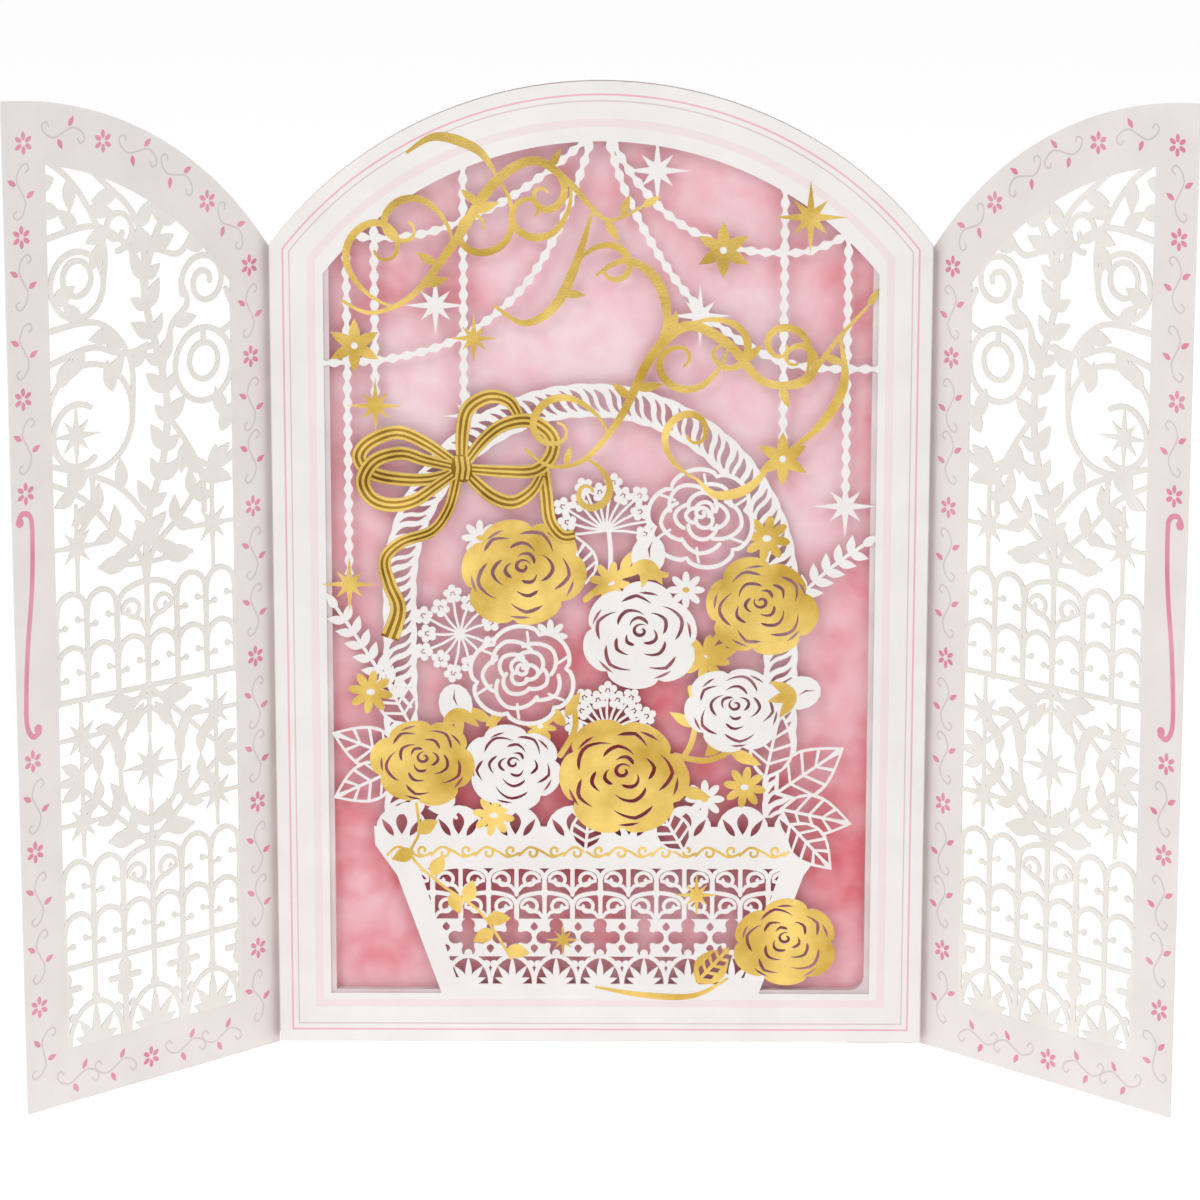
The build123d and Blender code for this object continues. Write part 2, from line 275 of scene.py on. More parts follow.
def star_flower(jobs, kind, x, z, reach):
    """Six pointed petals and an eye of card."""
    petal = leaf_shape(reach, reach * 0.42)
    paint(jobs, kind, [turned(petal, x, z, 90 + 60 * i) for i in range(6)])
    paint(jobs, kind, disc(x, z, reach * 0.22))
    paint(jobs, CARD, disc(x, z, reach * 0.13, 10))


def daisy(jobs, kind, x, z, reach, angle, eye):
    """Eight round petals about an eye."""
    for i in range(8):
        lean = angle + 45 * i
        middle = turned([(reach * 0.6, 0)], x, z, lean)[0]
        paint(jobs, kind, [turned(oval(reach * 0.42, reach * 0.2), *middle, lean)])
    paint(jobs, kind, disc(x, z, reach * 0.34))
    paint(jobs, eye, [turned(oval(reach * 0.2, reach * 0.15), x, z, 0)])


def petal_rims(x, z, radius, angle, spread):
    """Rims of a rose's petals: three rings of arcs round a heart that lies a little high."""
    heart_z = z + 0.1 * radius
    lines = [spiral(x, heart_z, radius * 0.13, angle, 380, 0.35)]
    for share, count in ((0.25, 3), (0.43, 4), (0.66, 5)):
        middle = heart_z - 0.12 * share * radius
        for i in range(count):
            span = spread * (5 / count) ** 0.7 * (0.88 + 0.2 * sin(3.7 * i + 5 * share + angle))
            toward = angle + 360 * i / count + 170 * share + 7 * sin(5 * i + 9 * share)
            centre = (
                x + 0.45 * share * radius * cos(radians(toward)),
                middle + 0.45 * share * radius * sin(radians(toward)),
            )
            rim = arc(*centre, 0.6 * share * radius, toward - span, 2 * span, 12)
            grown = []
            for k, (u, v) in enumerate(rim):
                t = k / (len(rim) - 1)
                size = 0.92 + 0.12 * t + 0.07 * (1 - abs(2 * t - 1)) ** 1.6
                grown.append((x + (u - x) * size, middle + (v - middle) * size))
            lines.append(grown)
    return lines


def rose_outline(x, z, radius, angle):
    """Outline with six uneven lobes."""
    points = []
    for i in range(72):
        turn = 2 * pi * i / 72
        size = 0.83 + 0.14 * abs(sin(3 * turn)) ** 0.55
        size += 0.03 * sin(2 * turn + angle) + 0.025 * sin(3 * turn + 2 * angle)
        at_turn = turn + radians(angle)
        points.append((x + radius * size * cos(at_turn), z + radius * size * sin(at_turn)))
    return points


def low_rose(points, z):
    """Seen a little from below, a rose is wider than it is tall."""
    return [(u, z + 0.9 * (v - z)) for u, v in points]


def petal_slit(points, widest):
    """Slit that opens quickly and runs out fine."""
    return strip(points, lambda t: widest * (0.06 + 1.25 * t**0.55 * (1 - t)))


def rose(jobs, kind, x, z, radius, angle):
    """Rose cut from the sheet, with slits along the rims of its petals."""
    paint(jobs, kind, [low_rose(rose_outline(x, z, radius, angle), z)])
    for i, line in enumerate(petal_rims(x, z, radius, angle, 52)):
        rim = low_rose(line if i % 2 else line[::-1], z)
        paint(jobs, HOLE, petal_slit(rim, 0.06 * radius))
    for i in range(5):
        mark = arc(x, z, radius * 0.8, angle + 72 * i + 20, 22, 8)
        paint(jobs, HOLE, taper(low_rose(mark, z), 0.05 * radius))


def line_rose(jobs, x, z, radius, angle):
    """Rose drawn in lines of card."""
    outline = low_rose(rose_outline(x, z, radius, angle), z)
    paint(jobs, HOLE, [outline])
    card_line(jobs, outline + outline[:1], 0.85)
    for line in petal_rims(x, z, radius, angle, 80):
        card_line(jobs, low_rose(line, z), 0.8)
    for i in range(6):
        turn = radians(angle + 60 * i)
        link = []
        for s in (0.6, 0.75, 0.88):
            link.append((x + radius * s * cos(turn + 0.3 * s), z + radius * s * sin(turn + 0.3 * s)))
        card_line(jobs, low_rose(link, z), 0.55)


def veined_leaf(jobs, x, z, angle, length, leaf_width):
    """Leaf with its four ribs a side left standing between cuts."""
    draw_leaf(jobs, CARD, x, z, angle, length, leaf_width)

    def edge(t):
        return leaf_width / 2 * sin(pi * min(max(t, 0), 1) ** 0.8) - 0.6

    for i in range(4):
        low = 0.07 + 0.185 * i
        high = low + 0.185 - 0.6 / length
        cell = [(low, 0.3), (high, 0.3)]
        for t in (high + 0.13, low + 0.13):
            cell.append((t, max(edge(t), 0.32)))
        for side in (1, -1):
            paint(jobs, HOLE, [turned([(length * t, side * v) for t, v in cell], x, z, angle)])


def umbel(jobs, x, z, reach, start, spread, count):
    """Fine rays that end in clusters of small florets."""
    for i in range(count):
        angle = start + spread * i / (count - 1)
        size = reach * (0.8 + 0.2 * (i % 2))
        line = turned([(0, 0), (size * 0.5, 0.25), (size, 0)], x, z, angle)
        card_line(jobs, line, 0.5)
        for k in range(5):
            spot = turned([(size + 1.2 * cos(1.26 * k), 1.18 * sin(1.26 * k))], x, z, angle)[0]
            paint(jobs, CARD, disc(*spot, 0.78, 8))


def sprig(jobs, line, leaf=(3.9, 1.8), pitch=3.0, lean=48, stem=0.7):
    """Stem with pairs of leaves and one at its tip."""
    card_line(jobs, line, stem)
    marks = spaced(line, pitch)
    for x, z, heading in marks[1:-1]:
        for side in (1, -1):
            draw_leaf(jobs, CARD, x, z, heading + side * lean, *leaf)
    x, z, heading = marks[-1]
    draw_leaf(jobs, CARD, x, z, heading, *leaf)


def curl(start, heading, size, hand):
    """Stem that runs out and winds into a curl, to the left for hand 1 and to the right for -1."""
    bends = ((2.4, 50), (1.25, 95), (0.8, 130), (0.42, 150))
    return pen(start, heading, [(size * share, hand * turn) for share, turn in bends])


def lobe(jobs, x, foot, tall, half, bar):
    """Tall arch with round shoulders."""
    side = [(-1, 0), (-1, 0.5), (-0.78, 0.86), (0, 1), (0.78, 0.86), (1, 0.5), (1, 0)]
    paint(jobs, CARD, strip(smooth([(x + u * half, foot + v * tall) for u, v in side], 6), bar / 2))


def curled_scale(jobs, x, foot, tall, wide, bar):
    """Wide arch about a stem, with a pair of curls in it."""
    half = wide / 2
    lobe(jobs, x, foot, tall, half, bar)
    card_line(jobs, [(x, foot), (x, foot + tall)], bar)
    for side in (1, -1):
        middle = x + side * half * 0.5
        hook = spiral(middle, foot + 0.5 * tall, half * 0.34, 90 - side * 90, side * 400, 0.3)
        hook = [(x, foot + 0.06 * tall), (x + side * half * 0.2, foot + 0.3 * tall)] + hook
        paint(jobs, CARD, strip(hook, bar * 0.42))
    paint(jobs, CARD, disc(x - half, foot, bar * 0.8, 8) + disc(x + half, foot, bar * 0.8, 8))
    paint(jobs, CARD, disc(x, foot + tall, bar * 0.95, 8))


def twin_scale(jobs, x, foot, tall, wide, bar):
    """Two tall arches side by side, with knops that stand in from their sides."""
    half = wide / 4
    for middle in (x - half, x + half):
        lobe(jobs, middle, foot, tall, half, bar)
        for side, share in ((1, 0.52), (-1, 0.4)):
            tip = (middle + side * half * 0.42, foot + share * tall)
            card_line(jobs, [(middle + side * half, tip[1] - 0.5), tip], bar * 0.6)
            paint(jobs, CARD, disc(*tip, bar * 0.62, 8))
    for u in (x - 2 * half, x, x + 2 * half):
        card_line(jobs, [(u, foot - 0.35), (u, foot + 0.66 * tall)], bar)
        paint(jobs, CARD, [turned(oval(bar * 1.15, bar * 0.75), u, foot + 0.72 * tall, 90)])


def leaf_fan(jobs, x, foot, tall, wide, bar):
    """Fan of leaves under a half-round arch set with knops."""
    half = wide / 2
    arch = [(x + (u - x) * half, foot + (v - foot) * tall) for u, v in arc(x, foot, 1, 180, -180, 15)]
    paint(jobs, CARD, strip(arch, bar / 2))
    for lean, size in ((90, 0.97), (52, 0.9), (128, 0.9), (20, 0.8), (160, 0.8)):
        reach = size * hypot(half * cos(radians(lean)), tall * sin(radians(lean)))
        draw_leaf(jobs, CARD, x, foot, lean, reach, wide * 0.15)
    for lean in (90, 40, 140):
        knop = (x + half * 1.08 * cos(radians(lean)), foot + tall * 1.1 * sin(radians(lean)))
        paint(jobs, CARD, disc(*knop, bar * 0.95, 10))


def round_cross(jobs, x, z, reach):
    """Cross-shaped hole with round arms."""
    for lean in (0, 90):
        paint(jobs, HOLE, [turned(oval(reach, reach * 0.36), x, z, lean)])
    for lean in (0, 90, 180, 270):
        end = turned([(reach * 0.72, 0)], x, z, lean)[0]
        paint(jobs, HOLE, disc(*end, reach * 0.38, 10))


# The cut-out sheet. Places are given from its lower left corner.


def at(x, z):
    return (x - width / 2, z + lift)


def ats(*places):
    return [at(x, z) for x, z in places]


def draw_frame(jobs):
    """Frame with its printed lines, each line the edge that shows of one more outline."""
    paint(jobs, CARD, [arched(0, 0, 0)])
    lines = ((ROSE, 2.4), (CARD, 2.75), (GREY, 3.7), (CARD, 3.95), (PALE, 7.3), (CARD, 8.9))
    for kind, inset in lines:
        paint(jobs, kind, [arched(inset, inset, inset)])
    paint(jobs, HOLE, [arched(frame_side, frame_foot, frame_arch)])


def draw_garlands(jobs):
    """Hanging strings and swags of beads, with white stars."""
    for x, foot in ((15, 97), (20.5, 131), (38, 119), (101, 122), (113.5, 112)):
        top = crown(x - width / 2, frame_arch) - lift + 0.8
        paint(jobs, CARD, bead_chain(ats((x, foot), (x, top))))
    swags = (
        ((9.6, 139.5), (24, 140.5), (38, 145), (50, 155), (58, 169), (63.5, 185)),
        ((15.5, 164.8), (22, 164.3), (32, 165.6), (45, 171), (56, 178.5), (63.8, 185.2)),
        ((66, 185.2), (72, 175.5), (80, 167.5), (91, 162.5), (103, 161.5), (109, 163), (114.2, 165.6)),
        ((66, 185), (70, 173), (77, 160), (85, 150), (95, 142.5), (105, 139), (120, 138.5)),
    )
    for swag in swags:
        paint(jobs, CARD, bead_chain(smooth(ats(*swag))))
    stars = ((32.5, 151, 6.2), (39, 129, 5.2), (76, 177.6, 6.6), (84.5, 149, 6.2), (113.5, 111, 6.4))
    for x, z, reach in stars:
        star(jobs, CARD, *at(x, z), reach)


def draw_gold_stars(jobs):
    stars = (
        (40, 144.5, 5.0), (20.5, 131, 5.6), (15, 95, 5.6), (106, 168.5, 7.2), (84.5, 31, 4.6),
        (57.5, 21.5, 3.6),
    )
    for x, z, reach in stars:
        star(jobs, GOLD, *at(x, z), reach)
    for x, z, reach in ((16.5, 143, 5.4), (89, 162, 5.6), (101, 120.5, 5.4)):
        star_flower(jobs, GOLD, *at(x, z), reach)


def draw_handle(jobs):
    """Twisted handle: slanting strands with slits between them."""
    x, z = at(63, 94.2)
    radius = 38
    foot = z - 47.0
    line = [(x + radius, foot)] + arc(x, z, radius, 0, 180, 5) + [(x - radius, foot)]
    strands = spaced(line, 4.5)
    count = len(strands)
    dense = [(u, v) for u, v, _ in spaced(line, 0.8)]
    paint(jobs, CARD, strip(dense, lambda t: 3.15 + 0.28 * abs(sin(pi * count * t))))
    slit = smooth([(-2.75, -0.5), (-1, 0.1), (1, -0.1), (2.75, 0.5)], 3)
    for u, v, heading in strands:
        for shift, slit_width in ((0, 1.45), (2.1, 0.95)):
            centre = turned([(shift, 0)], u, v, heading)[0]
            paint(jobs, HOLE, taper(turned(slit, *centre, heading + 118), slit_width))


def draw_rim(jobs):
    """Scalloped rim with three pointed holes in each scallop."""
    for i in range(8):
        x = 25.0 + 11.45 * i
        paint(jobs, CARD, disc(*at(x, 44.4), 5.2, 20))
        draw_leaf(jobs, HOLE, *at(x, 48.1), -90, 4.6, 2.3)
        for side in (1, -1):
            draw_leaf(jobs, HOLE, *at(x + side * 1.6, 43.2), 90 - side * 34, 4.4, 1.3)


def draw_basket(jobs):
    """Basket with curled scales, a band of crosses and leaf fans."""
    left = [(33.5, 10), (25.6, 34.6), (19.6, 41.6), (19.4, 45.2)]
    right = [(110.6, 45.2), (110.4, 41.6), (104.4, 34.6), (96.5, 10)]
    paint(jobs, CARD, [ats(*left, *right)])
    draw_rim(jobs)
    paint(jobs, HOLE, [ats((36.2, 12.2), (28.4, 36.8), (101.6, 36.8), (93.8, 12.2))])
    for i in range(8):
        curled_scale(jobs, *at(25.5 + 11.3 * i, 31.0), 5.9, 11.3, 0.85)
        curled_scale(jobs, *at(31.15 + 11.3 * i, 25.4), 6.0, 11.3, 0.85)
    paint(jobs, CARD, [ats((30, 18.0), (30, 25.9), (100, 25.9), (100, 18.0))])
    for i in range(7):
        round_cross(jobs, *at(38.3 + 8.9 * i, 22.0), 3.7)
    for i in range(8):
        for side in (1, -1):
            draw_leaf(jobs, HOLE, *at(33.85 + 8.9 * i, 22.0 + side * 1.4), side * 90, 1.9, 1.5)
    for i in range(7):
        leaf_fan(jobs, *at(38.3 + 8.9 * i, 12.2), 5.9, 8.9, 0.85)
    card_line(jobs, ats((28, 37), (102, 37)), 1.0)
    draw_basket_sides(jobs)
    draw_rim_scroll(jobs)


def draw_basket_sides(jobs):
    """Solid sides, which trim what the scales leave over."""
    beside = ats((12, 10.4), (33.2, 10.4), (24.3, 34.9), (19.9, 41.2), (12, 41.2))
    edge = [(32.9, 10), (24.0, 35), (19.6, 41.4), (23, 41.4), (28.4, 36.8), (36.2, 12.2), (36.4, 10)]
    side = ats(*edge)
    for hole, border in ((beside, side), (flipped(beside, 0), flipped(side, 0))):
        paint(jobs, HOLE, [hole])
        paint(jobs, CARD, [border])
    paint(jobs, CARD, [ats((33, 9.6), (33, 12.2), (97, 12.2), (97, 9.6))])


def draw_rim_scroll(jobs):
    """Running scroll in gold under the rim."""
    wave = ((0, 39.2), (2.0, 40.9), (4.4, 40.1), (6.6, 38.9), (8.9, 39.7))
    for i in range(10):
        x = 22 + 8.9 * i
        lines = (
            smooth([(x + u, z) for u, z in wave], 4),
            spiral(x + 2.6, 39.7, 1.2, 90, -300, 0.35),
            spiral(x + 7.2, 40.2, 1.1, -90, -300, 0.35),
        )
        for line in lines:
            paint(jobs, GOLD, stroke(ats(*line), 0.48))


def ribbon(jobs, points, half_width):
    """Ribbon in shaded foil, painted shade of its embossing, with three bright lines of painted highlight
    along it.
    """
    line = smooth(points, 8)
    paint(jobs, FOIL_IN_SHADE, strip(line, half_width))
    sides = strip(line, lambda t: half_width(t) * 0.78)
    # bright foil lines over the shaded foil are painted highlights on the embossed ridges
    for bright in ([quad[1] for quad in sides], line, [quad[0] for quad in sides]):
        paint(jobs, GOLD, strip(bright, lambda t: half_width(t) * 0.19))


def draw_bow(jobs):
    """Ribbon bow with five loops and two tails. Its places are given from the knot."""
    knot_x = 37.5
    knot_z = 118.5

    def from_knot(places):
        return [at(knot_x + x, knot_z + z) for x, z in places]

    def band(t):
        return 0.8 + 0.65 * sin(pi * min(max(t, 0), 1)) ** 0.6

    short_tail = ((16, 0), (16.7, -5), (17.4, -10.5), (19.8, -13.6), (22.5, -13.6))
    long_tail = (
        (-1, -2), (-2.6, -8), (-5.9, -12.6), (-12, -14.9), (-15.4, -18.4), (-14.6, -23.3), (-12.8, -28.5),
        (-14.6, -34.5),
    )
    ribbon(jobs, from_knot(short_tail), lambda t: 1.3)
    ribbon(jobs, from_knot(long_tail), lambda t: 1.1 + 0.8 * t**3)
    loops = (
        ((0, 0), (-6.5, -2.2), (-14, -2.0), (-18.4, -0.6), (-20.3, 2.4), (-18, 5.4), (-12.6, 7.2),
         (-6.9, 4.9), (0, 0)),
        ((0, 0), (-7, 1.6), (-12, 3.0), (-17.2, 1.5), (-19.6, -2.4), (-18, -6), (-14.2, -7.4), (-9.6, -6.6),
         (-4.8, -3.4), (0, 0)),
        ((0, 0), (0.2, 7.4), (1.4, 12), (5.4, 14.4), (9.5, 13.4), (11.8, 9.4)),
        ((0, 0), (5.4, -5.2), (10, -6.8), (13.8, -4.6), (15.8, -1.2)),
        ((0, 0), (4.2, 5.6), (8.5, 8.8), (13.6, 9.5), (17.7, 6.6), (17.7, 2.6), (14.4, -0.4), (8.5, -0.6),
         (0, 0)),
    )
    for loop in loops:
        ribbon(jobs, from_knot(loop), band)
    # knot in shaded foil with three bright folds: painted shade and painted highlights of its embossing
    paint(jobs, FOIL_IN_SHADE, [turned(oval(2.1, 2.9), *at(knot_x, knot_z), 12)])
    for shift in (-1.1, 0, 1.1):
        fold = ((shift, -2.0), (shift + 0.3, 0), (shift, 2.2))
        paint(jobs, GOLD, stroke(from_knot(fold), 0.62))


def gold_leaves(jobs, leaves):
    """Narrow gold leaves, each given as a place, an angle and a length."""
    for x, z, angle, length in leaves:
        draw_leaf(jobs, GOLD, *at(x, z), angle, length, length * 0.36)


def scrollwork(jobs, stems, curls, dabs):
    """Gold pen scrollwork: swelling stems, curls and small leaf-shaped dabs."""
    for stem in stems:
        paint(jobs, GOLD, swell(smooth(ats(*stem)), 0.6, 2.0))
    for x, z, heading, size, hand in curls:
        paint(jobs, GOLD, swell(curl(at(x, z), heading, size, hand), 0.5, 1.5))
    gold_leaves(jobs, dabs)


def draw_upper_scroll(jobs):
    """Scrollwork over the top left."""
    stems = (
        ((14, 152), (20, 149.5), (28, 153), (36, 163), (44, 175), (52, 179.5), (59, 175), (66, 168),
         (73, 170.5)),
        ((27, 181), (33, 184.2), (41, 181.5), (45, 175.8)),
        ((44, 151), (50, 147.5), (56, 151), (60, 159), (63.5, 170)),
    )
    curls = (
        (24, 150.8, 165, 5.4, -1), (36, 163, 95, 4.6, 1), (45, 175.8, -50, 4.8, -1),
        (59, 175, -80, 4.4, -1), (60, 159, 60, 3.4, -1), (52, 179.5, -10, 3.2, -1),
    )
    dabs = (
        (30, 155, 15, 5.5), (33, 159, 150, 5.0), (40, 169.5, 20, 5.5), (41, 171, 140, 4.6),
        (55, 178, 60, 4.4), (66, 168, -60, 5.0), (69, 168.6, 70, 4.6), (57.5, 153.5, -5, 4.6),
        (73, 170.5, 30, 4.2),
    )
    scrollwork(jobs, stems, curls, dabs)


def draw_lower_scroll(jobs):
    """Scrollwork across the right."""
    stems = (
        ((50, 122.5), (55, 119), (62, 120.5), (69, 129), (75, 141), (82, 147), (90, 143.5), (97, 136),
         (105, 136.5), (112, 145), (117.5, 151)),
        ((64, 157), (70, 160), (76, 156), (78, 148), (75, 141)),
        ((112, 145), (113, 136), (109, 128), (101.5, 121.5)),
        ((84, 116.5), (88, 113.2), (94, 114.5), (99, 119.5)),
    )
    curls = (
        (66.5, 125.5, 110, 4.8, 1), (62, 120.5, -20, 3.2, -1), (82, 147, 30, 4.2, -1),
        (90, 143.5, -95, 4.6, -1), (97, 136, -30, 3.6, 1), (105, 136.5, 60, 3.6, 1),
        (84, 116.5, 160, 4.2, -1),
    )
    dabs = (
        (72, 134.5, 10, 5.4), (71, 132.5, 140, 5.0), (79, 145.5, 80, 4.8), (93, 140, 40, 5.0),
        (100.5, 135.2, -70, 4.8), (109, 141, -20, 4.6), (117.5, 151, 60, 4.0), (58, 119.2, 75, 4.0),
    )
    scrollwork(jobs, stems, curls, dabs)


def draw_leaves(jobs):
    """Veined leaves at the handle's feet and among the flowers."""
    leaves = (
        (25, 59, 158, 15, 9), (24, 57, 205, 14, 8.5), (27, 66, 118, 13, 8), (100, 52, 35, 17, 10),
        (101, 49, -12, 15, 9), (98, 55, 78, 15, 9), (62, 95, 105, 11, 7.5), (82, 40, 120, 11, 7.5),
        (62, 40, 85, 10, 7), (103, 46, -48, 13, 8),
    )
    for x, z, angle, length, leaf_width in leaves:
        veined_leaf(jobs, *at(x, z), angle, length, leaf_width)


def draw_small_flowers(jobs):
    """Umbels, leafy sprigs and daisies."""
    card_line(jobs, smooth(ats((66, 90), (67, 100), (66.5, 107))), 0.9)
    umbel(jobs, *at(66, 106), 9.8, -5, 190, 12)
    umbel(jobs, *at(37, 85), 8.2, 20, 320, 13)
    umbel(jobs, *at(66.5, 65), 8.4, 5, 170, 11)
    sprig(jobs, smooth(ats((27, 70), (21, 77), (16.5, 84), (12.5, 90))))
    sprig(jobs, smooth(ats((98, 84), (106, 94), (112, 99.5), (117, 103))))
    sprig(jobs, smooth(ats((36, 47), (31, 52), (27, 50))), (4.2, 2.2), 2.6)
    for x, z, reach in ((41, 104.5, 3.6), (82, 94, 3.7), (55, 84.5, 3.4), (86, 51, 3.9), (74, 101.5, 2.8)):
        daisy(jobs, CARD, *at(x, z), reach, 90, GOLD)
    gold_daisies = (
        (98, 104.5, 4.6), (67, 95.5, 4.2), (86, 80, 4.8), (19, 73, 4.4), (43.5, 47.5, 4.2), (94, 53.5, 4.2),
        (53, 66, 3.2),
    )
    for x, z, reach in gold_daisies:
        daisy(jobs, GOLD, *at(x, z), reach, 80, CARD)


def draw_gold_stems(jobs):
    """Gold stems and sepals that show between the flowers."""
    stems = (
        ((79, 56), (83, 62), (84, 68), (83, 74)), ((80, 60), (86, 59), (91, 61), (97, 66)),
        ((57, 60), (60, 66), (59, 73)), ((41, 62), (44, 68), (40, 74)), ((88, 76), (87, 82), (91, 88)),
        ((62, 92), (70, 98), (78, 97)),
    )
    for stem in stems:
        paint(jobs, GOLD, stroke(smooth(ats(*stem)), 1.15))
    sepals = (
        (86, 60, 40, 7), (88, 60, 100, 6.5), (91, 61, -25, 7), (84, 66, 150, 6), (58, 68, 60, 6),
        (58, 66, 130, 6.5), (43, 67, 150, 6), (42, 66, 40, 5.5), (87, 80, 20, 6), (87, 79, 160, 5.5),
        (69, 97.5, 60, 5.5), (72, 98, -20, 5.5), (76, 97.5, 110, 5.5), (66, 95, -90, 5),
    )
    gold_leaves(jobs, sepals)


def draw_buds(jobs):
    """White buds in gold sepals."""
    for x, z, angle in ((105, 73, 15), (36, 70.5, 100), (74.5, 101, 80)):
        paint(jobs, CARD, [turned(oval(4.2, 3.4), *at(x, z), angle)])
        crack = turned([(-0.5, -0.4), (1.2, 0.1), (3, -0.3)], *at(x, z), angle)
        paint(jobs, HOLE, taper(crack, 0.45))
        foot = turned([(-0.8, 0)], *at(x, z), angle)[0]
        for lean in (140, 180, 220):
            draw_leaf(jobs, GOLD, *foot, angle + lean, 6.0, 2.2)


def draw_flowers(jobs):
    """The bouquet, from the back forwards."""
    draw_leaves(jobs)
    draw_small_flowers(jobs)
    draw_gold_stems(jobs)
    line_rose(jobs, *at(85, 108.5), 11.2, 12)
    line_rose(jobs, *at(49.5, 76.5), 11.2, 70)
    rose(jobs, GOLD, *at(49.5, 97.5), 12.8, 20)
    rose(jobs, GOLD, *at(97, 90.5), 11.6, 140)
    rose(jobs, CARD, *at(92, 69.5), 10.4, 100)
    rose(jobs, CARD, *at(73, 84.5), 12.4, 50)
    draw_buds(jobs)
    rose(jobs, CARD, *at(47.5, 57.5), 10.2, 10)
    rose(jobs, GOLD, *at(29.5, 58.5), 10.6, 80)
    rose(jobs, GOLD, *at(69.5, 55.5), 13.8, 30)
    draw_leaf(jobs, GOLD, *at(81, 53), -15, 6.5, 2.6)


def draw_trail(jobs):
    """Gold trail of leaves that hangs over the basket."""
    stem = smooth(ats((28, 50), (28.5, 44), (27, 39), (33, 33), (41, 27), (47, 17.5)))
    paint(jobs, GOLD, stroke(stem, 0.55))
    leaves = (
        (28, 44, 30), (27.5, 40, 200), (31, 35, 60), (35, 31.5, -70), (38, 29.3, 75), (42, 26, 0),
        (43.5, 23.5, 210), (46, 19.5, -10),
    )
    for x, z, angle in leaves:
        draw_leaf(jobs, GOLD, *at(x, z), angle, 4.9, 3.0)


def draw_foot_rose(jobs):
    """Gold rose at the basket's foot, with its stalk and a leaf."""
    paint(jobs, GOLD, swell(smooth(ats((64, 11.6), (74, 9.9), (84, 9.8), (91, 13.5))), 0.5, 1.3))
    foot = at(84.5, 12.5)
    draw_leaf(jobs, GOLD, *foot, 48, 10, 6.6)
    for i in range(4):
        low = 0.16 + 0.19 * i
        for side in (1, -1):
            cell = [(low, 0.35), (low + 0.13, 0.35), (low + 0.2, 1.7), (low + 0.1, 1.8)]
            paint(jobs, HOLE, [turned([(10 * t, side * v) for t, v in cell], *foot, 48)])
    rose(jobs, GOLD, *at(102.5, 21), 10.8, 60)


# The doors. a runs from the free edge towards the crease, z is the height.


def both(lines):
    """The lines and their mirror images about the middle of the door's window."""
    return lines + [flipped(line, window_middle) for line in lines]


def door_outline(side, foot, arch):
    """Half-arched outline drawn in from the door's edges."""
    steps = 26
    crease_side = door_width - side
    top = []
    for i in range(steps + 1):
        a = crease_side + (side - crease_side) * i / steps
        top.append((a, crown(a + hinge_gap, arch)))
    return [(side, foot), (crease_side, foot)] + top


def draw_lattice(jobs):
    """Filigree of the door's window, band by band."""
    for a in (17.5, 32.5, 47.5):
        leaf_fan(jobs, a, 10.6, 8.6, 13.5, 1.1)
        card_line(jobs, [(a, 19), (a, 28)], 1.1)
    for a in (10, 25, 40, 55):
        card_line(jobs, [(a, 10.6), (a, 28)], 1.4)
        paint(jobs, CARD, disc(a, 20.5, 2.0, 10) + disc(a, 24.6, 1.7, 10))
        card_line(jobs, [(a - 3.6, 22.6), (a + 3.6, 22.6)], 1.3)
    for foot in (27, 80):
        draw_scale_band(jobs, foot)
    draw_star_band(jobs)
    draw_vine_foot(jobs)
    draw_vine(jobs)


def draw_scale_band(jobs, foot):
    """Two tiers of scales on a rail, the upper ones over the joints of the lower ones."""
    for a in (10, 25, 40, 55):
        twin_scale(jobs, a, foot, 10.5, 15, 1.15)
    for a, scale in ((17.5, twin_scale), (32.5, curled_scale), (47.5, twin_scale)):
        scale(jobs, a, foot + 10.2, 10.8, 15, 1.15)
        card_line(jobs, [(a, foot + 6), (a, foot + 11)], 1.15)
    card_line(jobs, [(9.4, foot), (55.6, foot)], 1.1)


def draw_star_band(jobs):
    """Star in a ring of leaves, with leafy arms to the corners and smaller stars."""
    star(jobs, CARD, window_middle, 64, 7.2)
    for a in star_columns:
        for z in (55.5, 72.5, 110):
            star(jobs, CARD, a, z, 6.6)
    wreath = [smooth([(32.5, 52), (26.5, 57), (25, 64), (26.5, 71), (32.5, 76)], 6)]
    for line in both(wreath):
        card_line(jobs, line, 1.0)
        for a, z, heading in spaced(line, 8.5)[:-1]:
            draw_leaf(jobs, CARD, a, z, heading, 7.2, 2.8)
    for start in (48, 80):
        drop = 64 - start
        arm = [smooth([(32.5, start), (24, start + drop * 0.45), (15, 64 - drop * 0.1), (9.4, 64)], 6)]
        for line in both(arm):
            sprig(jobs, line, (5.0, 2.5), 6.2, 52, 1.1)
    bars = [[(32.5, 50), (22, 50.4)], [(32.5, 78), (22, 77.6)], [(32.5, 104.5), (21, 105.2)]]
    for line in both(bars):
        card_line(jobs, line, 1.0)
        tip = line[-1]
        draw_leaf(jobs, CARD, *tip, 0 if tip[0] < window_middle else 180, 7.6, 3.6)
    for z in (48, 71):
        card_line(jobs, [(32.5, z), (32.5, z + 9)], 1.0)


def draw_vine_foot(jobs):
    """Leafy arms over the upper scales, and the rods that carry the stars."""
    arm = [smooth([(32.5, 101), (30.5, 107), (24, 112.5), (17.5, 119), (9.4, 123)], 6)]
    for line in both(arm):
        sprig(jobs, line, (5.6, 2.8), 7.0, 50, 1.15)
    for a in star_columns:
        rods = (
            [(a, 101), (a, 118)], [(a - 7, 110), (a + 7, 110)], [(a, 49), (a, 79)],
            [(a - 6, 55.5), (a + 6, 55.5)], [(a - 6, 72.5), (a + 6, 72.5)],
        )
        for rod in rods:
            card_line(jobs, rod, 0.85)


